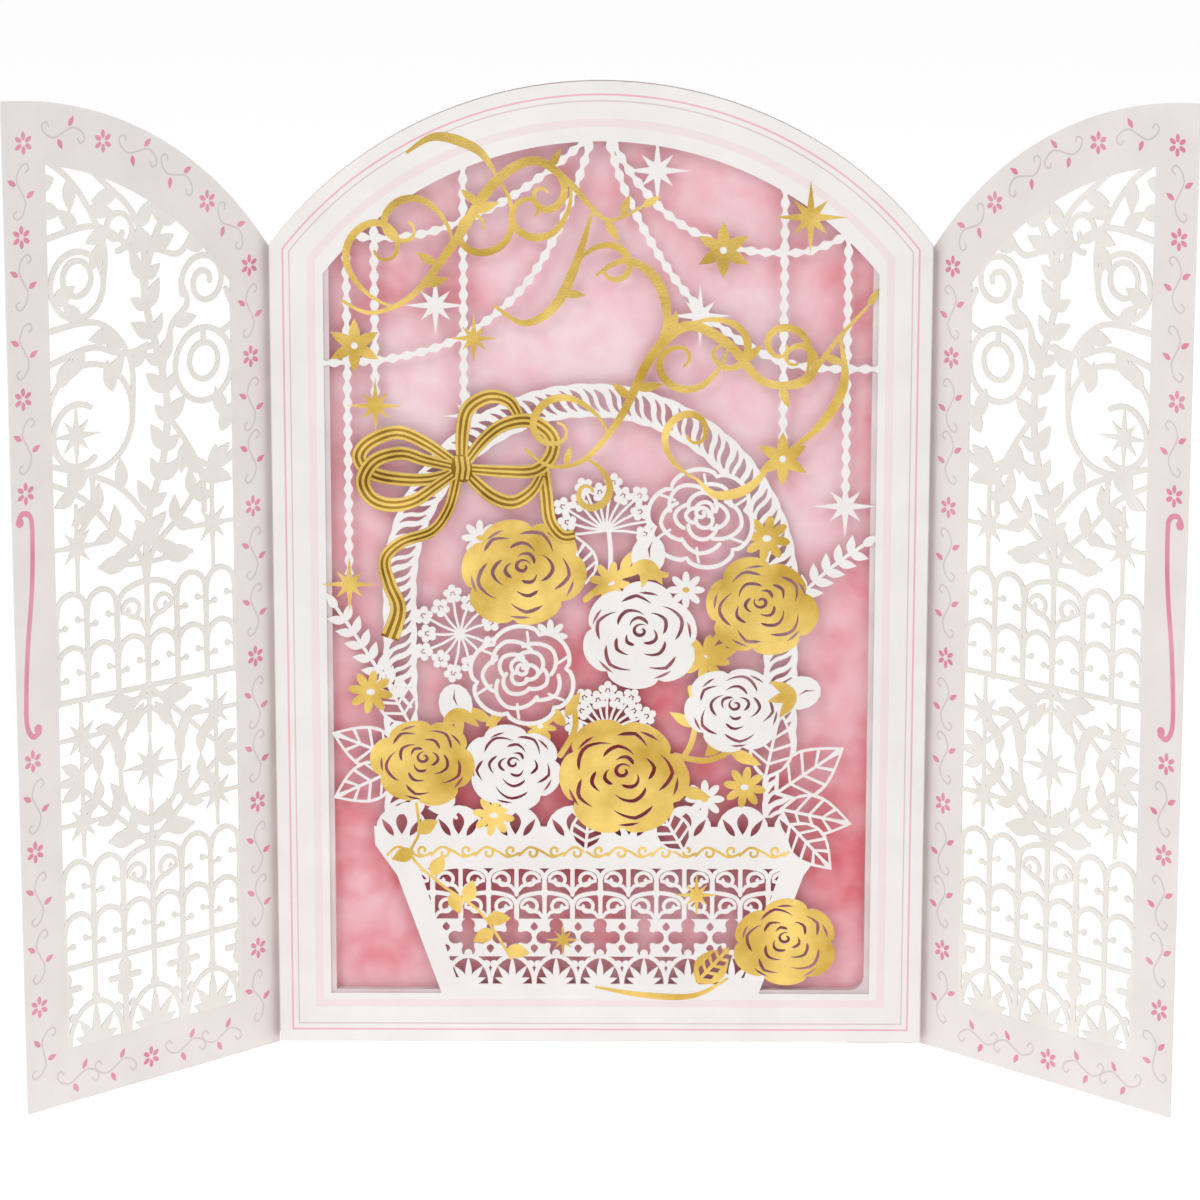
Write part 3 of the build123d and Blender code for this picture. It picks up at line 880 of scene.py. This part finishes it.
def draw_vine(jobs):
    """Vine with scrolls that fills the window up to its arch."""
    bends = [(32.5, 104), (33.5, 114), (37.5, 125), (38.5, 136), (36, 147), (33.5, 157), (35.5, 166)]
    stem = smooth(bends + [(41, 175)], 7)
    card_line(jobs, stem, 1.6)
    for i, (a, z, heading) in enumerate(spaced(stem, 5.6)[1:]):
        lean = 44 if i % 2 else -44
        draw_leaf(jobs, CARD, a, z, heading + lean, 6.6, 3.2)
        draw_leaf(jobs, CARD, a, z, heading - lean, 4.8, 2.4)
    rings = (
        arc(19.5, 134.5, 10.4, 0, 360), arc(17, 161.5, 3.4, 0, 360), arc(17, 160.2, 6.4, 0, 360),
        arc(48, 142.5, 3.6, 0, 360), arc(48, 141.8, 7.2, 0, 360), [(48, 145.9), (48, 149)],
        spiral(48.5, 158, 6.0, 200, -560, 0.22), spiral(27, 170, 4.2, -90, 420, 0.35),
        arc(16.5, 131.5, 6.0, 60, 250),
    )
    for line in rings:
        card_line(jobs, line, 1.2)
    branches = (
        [(33.4, 113), (25, 121), (9.4, 126.5)], [(36.5, 121), (43, 124), (50, 121.5), (56, 124)],
        [(38.5, 133), (43.5, 126.5), (47, 120), (47.5, 113)],
        [(29.9, 134.5), (29.5, 145), (22, 152.5), (9.4, 152)],
        [(36, 147), (28, 146), (20, 148), (9.4, 145.5)], [(33.5, 157), (31, 165), (22, 171), (9.4, 169.5)],
        [(34, 161), (31.5, 172), (23, 180), (13, 188)], [(9.4, 185), (17, 179), (23.5, 168), (23.4, 160)],
        [(35.5, 166), (42, 164), (46, 168), (49, 173)], [(37.5, 141), (40, 150), (44, 154), (42.5, 158.5)],
        [(54, 156), (56, 150), (52, 147.5)], [(19.5, 124), (19.5, 117), (16, 112)],
    )
    for branch in branches:
        line = smooth(branch, 7)
        card_line(jobs, line, 1.2)
        for i, (a, z, heading) in enumerate(spaced(line, 8.5)[1:-1]):
            lean = 48 if i % 2 else -48
            draw_leaf(jobs, CARD, a, z, heading + lean, 6.2, 3.1)
    leaves = (
        (12, 181, 200), (13, 174, 160), (11, 157, 30), (12, 141, 60), (25, 139, 100), (24, 141, 50),
        (53, 131, 110), (52, 128, 60),
    )
    for a, z, angle in leaves:
        draw_leaf(jobs, CARD, a, z, angle, 6.4, 3.3)
    star(jobs, CARD, 16, 131.5, 6.4)


def print_vine(jobs, a, z, angle):
    """Printed S-shaped tendril with two small leaves."""
    half = smooth([(0, 0), (2.2, 1.0), (4.4, 0.2), (5.2, -1.2), (4.2, -1.9), (3.5, -1.0)], 5)
    for side in (1, -1):
        tendril = [(side * u, side * v) for u, v in half]
        paint(jobs, GREY, strip(turned(tendril, a, z, angle), 0.19))
        bud = turned([(side * 1.2, side * 1.2)], a, z, angle)[0]
        draw_leaf(jobs, ROSE, *bud, angle + side * 60, 2.3, 1.1)


def print_flower(jobs, a, z):
    """Printed flower of six loose petals."""
    for i in range(6):
        lean = 90 + 60 * i
        spot = turned([(1.35, 0)], a, z, lean)[0]
        paint(jobs, ROSE, [turned(oval(0.85, 0.5, 10), *spot, lean)])


def draw_door_print(jobs):
    """Flowers and tendrils printed round the door's border, and a hooked line on its free edge."""
    flowers = (
        (5, 188), (24, 187), (49.5, 173.5), (4, 170.5), (60, 160), (3.4, 122), (60, 142), (60, 112),
        (60, 81.5), (3.4, 140), (3.4, 70), (3.4, 52), (60, 51.5), (3.4, 21), (59.5, 21), (31, 4.6),
    )
    for a, z in flowers:
        print_flower(jobs, a, z)
    tendrils = (
        (14.5, 189.3, -5), (32.5, 184.5, -20), (42, 179.2, -35), (55.3, 168.2, -48), (4.2, 179, 90),
        (4.2, 162, 90), (4, 149, 90), (4, 131, 90), (60, 151, 90), (60, 132.5, 90), (60, 122, 90),
        (60, 102.5, 90), (60, 91, 90), (60, 72, 90), (60, 61, 90), (60, 42, 90), (60, 31, 90), (4, 61, 90),
        (4, 42.5, 90), (4, 31, 90), (4.2, 11.5, 75), (12.5, 4.9, 0), (22, 4.9, 0), (40, 4.9, 0),
        (49.5, 4.9, 0), (59.3, 11, 100),
    )
    for a, z, angle in tendrils:
        print_vine(jobs, a, z, angle)
    bends = (
        (1.5, 117), (2.4, 118.2), (4.2, 117.6), (4.7, 114.5), (4.3, 104), (2.9, 92), (2.2, 82), (2.3, 77),
        (3.6, 74.8), (5.2, 75.4),
    )
    paint(jobs, ROSE, stroke(smooth(bends, 6), 1.1))
    paint(jobs, ROSE, disc(1.8, 116.6, 0.95) + disc(4.9, 76.1, 0.95))


def door_jobs():
    """The lattice first, and the border over its ends."""
    jobs = []
    draw_lattice(jobs)
    outer = door_outline(0, 0, 0)
    inner = door_outline(door_side, door_foot, door_arch)
    for i in range(len(outer)):
        k = (i + 1) % len(outer)
        paint(jobs, PALE, [[outer[i], outer[k], inner[k], inner[i]]])
    draw_door_print(jobs)
    return jobs


# Cutting. A painting becomes triangles, and those become a sheet.


def cut(jobs):
    """Corners, triangles and each triangle's topmost paint."""
    points = []
    faces = []
    for _, polygon in jobs:
        area = sum(a[0] * b[1] - b[0] * a[1] for a, b in zip(polygon, polygon[1:] + polygon[:1]))
        ring = list(polygon) if area > 0 else list(reversed(polygon))
        faces.append(list(range(len(points), len(points) + len(ring))))
        points += [Vector(p) for p in ring]
    corners, _, triangles, _, _, owners = delaunay_2d_cdt(points, [], faces, 1, 1e-4, True)
    kinds = [jobs[max(owner)][0] if owner else HOLE for owner in owners]
    return corners, triangles, kinds


def layer(picture, wanted, place, depths):
    """Sheet of the wanted paints between two depths, as corners, faces and paints."""
    corners, triangles, kinds = picture
    index = {}
    vertices = []

    def corner(i, side):
        key = (i, side)
        if key not in index:
            index[key] = len(vertices)
            vertices.append(place(corners[i][0], corners[i][1], depths[side]))
        return index[key]

    faces = []
    paints = []
    edges = {}
    for triangle, kind in zip(triangles, kinds):
        if kind not in wanted:
            continue
        faces.append([corner(i, 0) for i in triangle])
        faces.append([corner(i, 1) for i in reversed(triangle)])
        paints += [wanted[kind], 0]
        for a, b in zip(triangle, triangle[1:] + triangle[:1]):
            if (b, a) in edges:
                del edges[(b, a)]
            else:
                edges[(a, b)] = True
    for a, b in edges:
        faces.append([corner(a, 0), corner(a, 1), corner(b, 1), corner(b, 0)])
        paints.append(0)
    return vertices, faces, paints


def crease(side):
    """Rounded outside of a door's fold."""
    profile = [(hinge, hinge_y)]
    profile += arc(hinge, hinge_y, door_card, 90, -degrees(door_angle), 12)
    count = len(profile)
    vertices = [(side * x / 1000, y / 1000, z / 1000) for z in (0, crown(hinge)) for x, y in profile]
    faces = [[i, (i + 1) % count, count + (i + 1) % count, count + i] for i in range(count)]
    faces += [list(reversed(range(count))), list(range(count, 2 * count))]
    return vertices, faces, [0] * len(faces)


def inside_out(sheet_layer):
    """Layer with its faces turned the other way."""
    vertices, faces, paints = sheet_layer
    return vertices, [list(reversed(face)) for face in faces], paints


def make_piece(name, layers, materials):
    """One mesh of all the layers."""
    vertices = []
    faces = []
    paints = []
    for corners, sides, kinds in layers:
        first = len(vertices)
        vertices += corners
        faces += [[first + i for i in side] for side in sides]
        paints += kinds
    mesh = bpy.data.meshes.new(name)
    mesh.from_pydata(vertices, [], faces)
    for material in materials:
        mesh.materials.append(material)
    mesh.polygons.foreach_set("material_index", paints)
    piece = bpy.data.objects.new(name, mesh)
    bpy.context.scene.collection.objects.link(piece)
    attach(piece, "root")
    return piece


# Materials


def fill(node, values):
    """Give a node's inputs their values by name."""
    for label, value in values.items():
        node.inputs[label].default_value = value


def cloud_noise(tree, where, scale, detail):
    """Noise over the object's own coordinates."""
    cloud = tree.nodes.new("ShaderNodeTexNoise")
    fill(cloud, {"Scale": scale, "Detail": detail})
    tree.links.new(where.outputs["Object"], cloud.inputs["Vector"])
    return cloud.outputs[0]


def colour_ramp(tree, tone, low, dark, high, light):
    """Ramp from a dark colour to a light one."""
    ramp = tree.nodes.new("ShaderNodeValToRGB")
    ends = ramp.color_ramp.elements
    ends[0].position = low
    ends[0].color = (*dark, 1)
    ends[1].position = high
    ends[1].color = (*light, 1)
    tree.links.new(tone, ramp.inputs[0])
    return ramp


def paper_grain():
    """Fine tooth and slow waviness of card, as a tone and a normal."""
    tree = bpy.data.node_groups.new("paper_grain", "ShaderNodeTree")
    for label in ("Tooth", "Wave"):
        tree.interface.new_socket(label, in_out="INPUT", socket_type="NodeSocketFloat")
    tree.interface.new_socket("Tone", in_out="OUTPUT", socket_type="NodeSocketFloat")
    tree.interface.new_socket("Normal", in_out="OUTPUT", socket_type="NodeSocketVector")
    given = tree.nodes.new("NodeGroupInput")
    out = tree.nodes.new("NodeGroupOutput")
    nodes = tree.nodes
    links = tree.links
    where = nodes.new("ShaderNodeTexCoord")
    slow = nodes.new("ShaderNodeBump")
    slow.inputs["Distance"].default_value = 0.002
    links.new(given.outputs["Wave"], slow.inputs["Strength"])
    links.new(cloud_noise(tree, where, 38, 2), slow.inputs["Height"])
    fine = nodes.new("ShaderNodeBump")
    fine.inputs["Distance"].default_value = 0.00005
    links.new(given.outputs["Tooth"], fine.inputs["Strength"])
    links.new(cloud_noise(tree, where, 2600, 5), fine.inputs["Height"])
    links.new(slow.outputs[0], fine.inputs["Normal"])
    links.new(fine.outputs[0], out.inputs["Normal"])
    links.new(cloud_noise(tree, where, 90, 4), out.inputs["Tone"])
    return tree


grain = paper_grain()


def surface(name, tooth, wave):
    """Material with the paper grain in it. Gives the material, its nodes and the grain node."""
    material = bpy.data.materials.new(name)
    material.use_nodes = True
    tree = material.node_tree
    shader = tree.nodes["Principled BSDF"]
    node = tree.nodes.new("ShaderNodeGroup")
    node.node_tree = grain
    fill(node, {"Tooth": tooth, "Wave": wave})
    tree.links.new(node.outputs["Normal"], shader.inputs["Normal"])
    return material, tree, shader, node


def tinted(name, dark, light, roughness, tooth=0.5, wave=0.12, sheen=0.0):
    """Card or ink whose tone drifts a little between two colours."""
    material, tree, shader, node = surface(name, tooth, wave)
    ramp = colour_ramp(tree, node.outputs["Tone"], 0.3, dark, 0.7, light)
    tree.links.new(ramp.outputs[0], shader.inputs["Base Color"])
    fill(shader, {"Roughness": roughness, "Specular IOR Level": 0.3})
    fill(shader, {"Coat Weight": sheen, "Coat Roughness": 0.35})
    return material


def foil_film(name, dark, light, roughness):
    """Hot-stamped foil: a bright metal film that follows the card's waviness."""
    material, tree, shader, node = surface(name, 0.4, 0.6)
    ramp = colour_ramp(tree, node.outputs["Tone"], 0.3, dark, 0.68, light)
    tree.links.new(ramp.outputs[0], shader.inputs["Base Color"])
    fill(shader, {"Metallic": 1.0, "Roughness": roughness})
    return material


def maths(tree, operation, a, b=0):
    """Maths node on sockets or numbers."""
    step = tree.nodes.new("ShaderNodeMath")
    step.operation = operation
    for socket, value in zip(step.inputs, (a, b)):
        if isinstance(value, (int, float)):
            socket.default_value = value
        else:
            tree.links.new(value, socket)
    return step.outputs[0]


def shaded_wash_tone(tree):
    """Clouds of printed wash, with painted shade that makes it darker towards the window's sides and foot
    and behind the bouquet.
    """
    where = tree.nodes.new("ShaderNodeTexCoord")
    axes = tree.nodes.new("ShaderNodeSeparateXYZ")
    tree.links.new(where.outputs["Object"], axes.inputs[0])
    # painted shade of the frame, darker towards the window's sides
    aside = maths(tree, "DIVIDE", maths(tree, "ABSOLUTE", axes.outputs[0]), 0.057)
    edge = maths(tree, "MULTIPLY", maths(tree, "POWER", aside, 5), 0.34)
    # painted shade behind the bouquet
    bouquet = tree.nodes.new("ShaderNodeVectorMath")
    bouquet.operation = "DISTANCE"
    bouquet.inputs[1].default_value = (0, hinge_y / 1000, 0.052)
    tree.links.new(where.outputs["Object"], bouquet.inputs[0])
    away = maths(tree, "DIVIDE", bouquet.outputs["Value"], 0.06)
    bouquet_shade = maths(tree, "MAXIMUM", maths(tree, "SUBTRACT", 1, away))
    # painted shade, darker towards the window's foot
    risen = maths(tree, "DIVIDE", axes.outputs[2], 0.16)
    low = maths(tree, "MAXIMUM", maths(tree, "SUBTRACT", 0.5, risen))
    petals = tree.nodes.new("ShaderNodeTexVoronoi")
    petals.inputs["Scale"].default_value = 75
    tree.links.new(where.outputs["Object"], petals.inputs["Vector"])
    figure = maths(tree, "SINE", maths(tree, "MULTIPLY", petals.outputs["Distance"], 17))
    broad = maths(tree, "MULTIPLY", cloud_noise(tree, where, 24, 3), 1.5)
    small = maths(tree, "MULTIPLY", cloud_noise(tree, where, 120, 3), 0.9)
    wash = maths(tree, "SUBTRACT", maths(tree, "ADD", broad, small), 0.45)
    wash = maths(tree, "ADD", wash, maths(tree, "MULTIPLY", figure, 0.05))
    # the painted shade is taken off the wash
    for shade in (edge, maths(tree, "MULTIPLY", low, 0.38), maths(tree, "MULTIPLY", bouquet_shade, 0.55)):
        wash = maths(tree, "SUBTRACT", wash, shade)
    return wash


def watercolour_with_shade():
    """Pink wash with painted shade on the inner face. The outer face is plain card."""
    material, tree, shader, node = surface("pink_wash_and_shade", 0.4, 0.05)
    # one ramp colours both the printed wash and its painted shade
    wash = colour_ramp(tree, shaded_wash_tone(tree), 0.0, (0.72, 0.17, 0.20), 1.0, (0.87, 0.66, 0.70))
    middle = wash.color_ramp.elements.new(0.5)
    middle.color = (0.82, 0.44, 0.49, 1)
    plain = colour_ramp(tree, node.outputs["Tone"], 0.0, (0.79, 0.765, 0.74), 1.0, (0.86, 0.835, 0.81))
    facing = tree.nodes.new("ShaderNodeNewGeometry")
    normal = tree.nodes.new("ShaderNodeSeparateXYZ")
    tree.links.new(facing.outputs["True Normal"], normal.inputs[0])
    mix = tree.nodes.new("ShaderNodeMix")
    mix.data_type = "RGBA"
    tree.links.new(maths(tree, "GREATER_THAN", normal.outputs[1], -0.5), mix.inputs[0])
    tree.links.new(wash.outputs[0], mix.inputs[6])
    tree.links.new(plain.outputs[0], mix.inputs[7])
    tree.links.new(mix.outputs[2], shader.inputs["Base Color"])
    fill(shader, {"Roughness": 0.6, "Specular IOR Level": 0.2})
    return material


white_card = tinted("white_card", (0.80, 0.77, 0.75), (0.85, 0.825, 0.805), 0.5, 0.5, 0.12, 0.1)
filigree_card = tinted("filigree_card", (0.79, 0.765, 0.715), (0.85, 0.83, 0.785), 0.6)
border_tint = tinted("border_tint", (0.78, 0.735, 0.715), (0.83, 0.785, 0.765), 0.5)
rose_ink = tinted("rose_ink", (0.80, 0.40, 0.47), (0.84, 0.47, 0.54), 0.5)
blush_ink = tinted("blush_ink", (0.82, 0.695, 0.695), (0.85, 0.74, 0.74), 0.5)
grey_ink = tinted("grey_ink", (0.66, 0.50, 0.53), (0.71, 0.56, 0.58), 0.5)
petal_ink = tinted("petal_ink", (0.70, 0.22, 0.33), (0.78, 0.36, 0.46), 0.5)
tendril_ink = tinted("tendril_ink", (0.64, 0.56, 0.55), (0.70, 0.62, 0.60), 0.5)
# spacer foam, its white darkened and tinted pink as painted shade in the recess between the sheets
foam_in_painted_shade = tinted("foam_in_painted_shade", (0.62, 0.50, 0.50), (0.74, 0.66, 0.66), 0.8, 1.0, 0.0)
foil_gold = foil_film("gold_foil", (0.50, 0.31, 0.05), (0.86, 0.62, 0.19), 0.27)
foil_shade = foil_film("shaded_foil", (0.07, 0.03, 0.008), (0.50, 0.29, 0.05), 0.35)
pink_ground = watercolour_with_shade()


# Pieces


def on_sheet(x, z, depth):
    """Place on the cut-out sheet, back from its front face."""
    return (x / 1000, (sheet_front + depth) / 1000, z / 1000)


def on_door(side):
    """Place on the right door (side 1) or the left one (side -1)."""

    def place(a, z, depth):
        u = door_width - a
        x = hinge + u * cos(door_angle) + depth * sin(door_angle)
        y = hinge_y - u * sin(door_angle) + depth * cos(door_angle)
        return (side * x / 1000, y / 1000, z / 1000)

    return place


def on_back(x, z, depth):
    """Place behind the back panel."""
    return (x / 1000, (hinge_y + depth) / 1000, z / 1000)


def tab_picture(side):
    """Glue tab behind the back panel. The left one is trimmed at its foot."""
    foot = left_tab_trim if side < 0 else 0
    across = [hinge - tab_width * i / 6 for i in range(7)]
    outline = [(hinge - tab_width, foot), (hinge, foot)] + [(x, crown(x)) for x in across]
    return cut([(CARD, [(side * x, z) for x, z in outline])])


def sheet_painting():
    """The cut-out sheet, from the back forwards."""
    jobs = []
    draw_frame(jobs)
    draw_garlands(jobs)
    draw_handle(jobs)
    draw_basket(jobs)
    draw_flowers(jobs)
    draw_trail(jobs)
    draw_foot_rose(jobs)
    draw_bow(jobs)
    draw_gold_stars(jobs)
    draw_upper_scroll(jobs)
    draw_lower_scroll(jobs)
    return cut(jobs)


sheet_picture = sheet_painting()
sheet_paints = {CARD: 0, GOLD: 0, FOIL_IN_SHADE: 0, ROSE: 1, PALE: 2, GREY: 3}
sheet_layer = layer(sheet_picture, sheet_paints, on_sheet, (0, card))
sheet = make_piece("cut_sheet", [sheet_layer], (white_card, rose_ink, blush_ink, grey_ink))
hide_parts("cutout_panel")
foil_layer = layer(sheet_picture, {GOLD: 0, FOIL_IN_SHADE: 1}, on_sheet, (-foil, -foil / 10))
stamping = make_piece("foil_stamping", [foil_layer], (foil_gold, foil_shade))

door_picture = cut(door_jobs())
door_paints = {CARD: 0, PALE: 1, ROSE: 2, GREY: 3}
for side, name in ((1, "right_door"), (-1, "left_door")):
    filigree = layer(door_picture, door_paints, on_door(side), (0, door_card))
    fold = crease(side)
    if side > 0:
        filigree = inside_out(filigree)
        fold = inside_out(fold)
    tab = layer(tab_picture(side), {CARD: 0}, on_back, (0, door_card))
    inks = (filigree_card, border_tint, petal_ink, tendril_ink)
    door = make_piece(name + "_sheet", [filigree, fold, tab], inks)
    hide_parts(name)

for node, material in (("back_panel", pink_ground), ("spacer_frame", foam_in_painted_shade)):
    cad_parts[node].data.materials.clear()
    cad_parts[node].data.materials.append(material)


# Floor, light and camera


def floor_plane():
    mesh = bpy.data.meshes.new("floor")
    mesh.from_pydata([(-3, -3, 0), (3, -3, 0), (3, 3, 0), (-3, 3, 0)], [], [(0, 1, 2, 3)])
    piece = bpy.data.objects.new("floor", mesh)
    bpy.context.scene.collection.objects.link(piece)
    material = bpy.data.materials.new("floor_white")
    material.use_nodes = True
    shader = material.node_tree.nodes["Principled BSDF"]
    fill(shader, {"Base Color": (0.9, 0.9, 0.9, 1), "Roughness": 0.8})
    fill(shader, {"Emission Color": (1, 1, 1, 1), "Emission Strength": 0.55})
    mesh.materials.append(material)


def area_light(name, place, target, size, power):
    data = bpy.data.lights.new(name, "AREA")
    data.size = size
    data.energy = power
    light = bpy.data.objects.new(name, data)
    light.location = place
    aim = Vector(target) - Vector(place)
    light.rotation_euler = aim.to_track_quat("-Z", "Y").to_euler()
    bpy.context.scene.collection.objects.link(light)


floor_plane()
area_light("key", (-0.8, -1.0, 1.2), (0, 0, 0.1), 0.8, 7.6)
area_light("fill", (0.9, -0.9, 0.8), (0, 0, 0.1), 1.0, 3.4)

world = bpy.data.worlds.new("studio")
world.use_nodes = True
fill(world.node_tree.nodes["Background"], {"Color": (1, 1, 1, 1), "Strength": 0.46})
bpy.context.scene.world = world

camera_data = bpy.data.cameras.new("camera")
camera_data.lens = 130.1
camera_data.sensor_width = 36
camera = bpy.data.objects.new("camera", camera_data)
eye = Vector((4.13, sheet_front - 844.9, 273.05)) / 1000
forward = Vector((-0.0049, 0.978, -0.2085)).normalized()
turn = forward.to_track_quat("-Z", "Y").to_matrix().to_4x4()
camera.matrix_world = Matrix.Translation(eye) @ turn @ Matrix.Rotation(radians(0.07), 4, "Z")
bpy.context.scene.collection.objects.link(camera)
bpy.context.scene.camera = camera
bpy.context.scene.view_settings.view_transform = "Standard"
